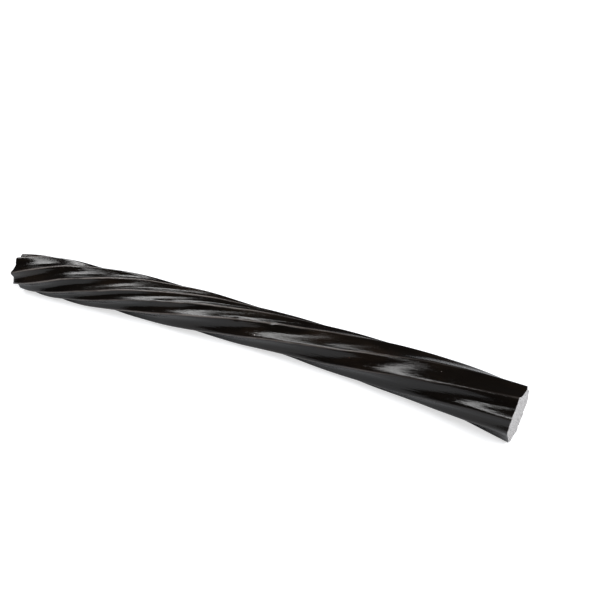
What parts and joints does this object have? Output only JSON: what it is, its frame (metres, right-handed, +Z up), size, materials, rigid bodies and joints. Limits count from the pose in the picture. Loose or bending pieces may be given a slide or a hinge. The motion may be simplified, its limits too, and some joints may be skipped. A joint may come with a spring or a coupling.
{
  "type": "black licorice twist",
  "caption": "Solid black licorice twist: a soft candy rope with wide flutes between narrow ridges wound to the left, gently bent, cut square at both ends.",
  "frame": {"origin": "on the floor, under the middle of the twist's box", "axes": "+X along the twist from its thin end to its wide end, +Y towards the outer side of its bend, +Z up"},
  "size_m": [0.1714, 0.0198, 0.0145],
  "materials": {
    "licorice": "soft glossy black licorice, faintly brown, a little rough along the ridges"
  },
  "bodies": {
    "root": {"licorice_twist": "licorice"}
  },
  "joints": []
}
